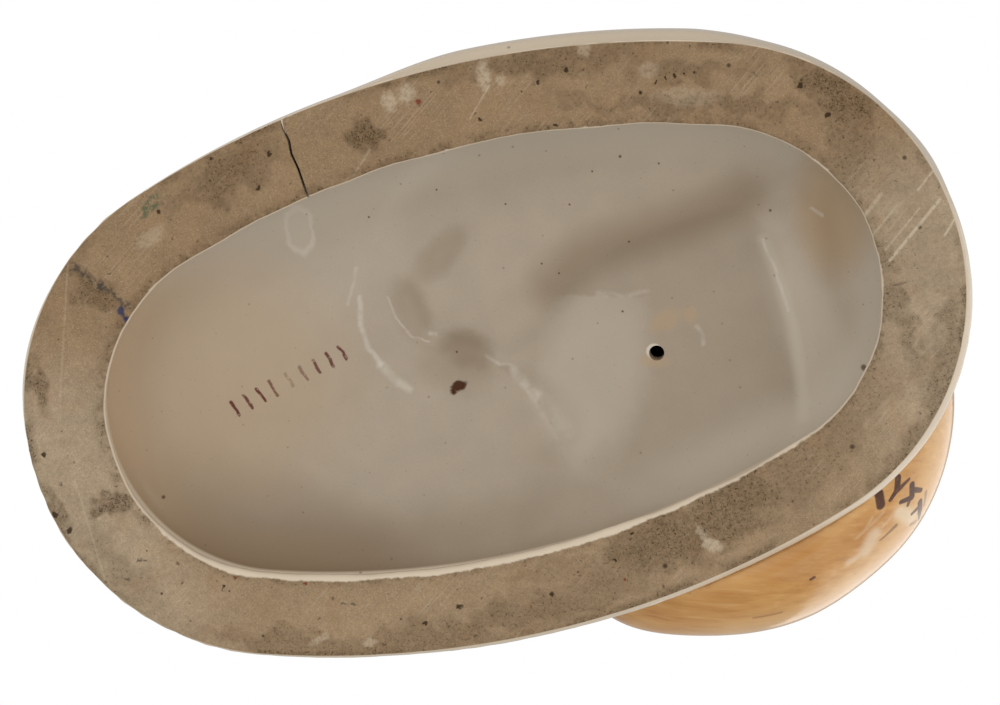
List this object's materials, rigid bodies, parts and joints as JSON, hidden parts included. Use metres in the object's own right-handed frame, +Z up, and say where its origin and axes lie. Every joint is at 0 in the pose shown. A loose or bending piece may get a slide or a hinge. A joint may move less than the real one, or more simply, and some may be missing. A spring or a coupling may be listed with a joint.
{
  "type": "ceramic figurine on an oval plinth",
  "caption": "Slip-cast, glazed reclining cat on an oval plinth with a ground foot ring, an open recess beneath and a vent hole into the closed body.",
  "frame": {"origin": "on the ground, under the middle of the whole figure's outline", "axes": "+Z up; X along the plinth with the cat's haunch at -X; the front, where the haunch hangs over the plinth, is at -Y"},
  "size_m": [0.1818, 0.1244, 0.1198],
  "materials": {
    "plinth_glaze": "clear glossy glaze over a cream body, ground bare on the foot ring",
    "figure_glaze": "ochre brushwork with dark brown strokes under a glossy glaze"
  },
  "bodies": {
    "root": {"plinth": "plinth_glaze", "body": "figure_glaze", "head": "figure_glaze", "left_ear": "figure_glaze", "right_ear": "figure_glaze", "left_foreleg": "figure_glaze", "right_foreleg": "figure_glaze", "right_hind_paw": "figure_glaze", "tail": "figure_glaze"}
  },
  "joints": []
}
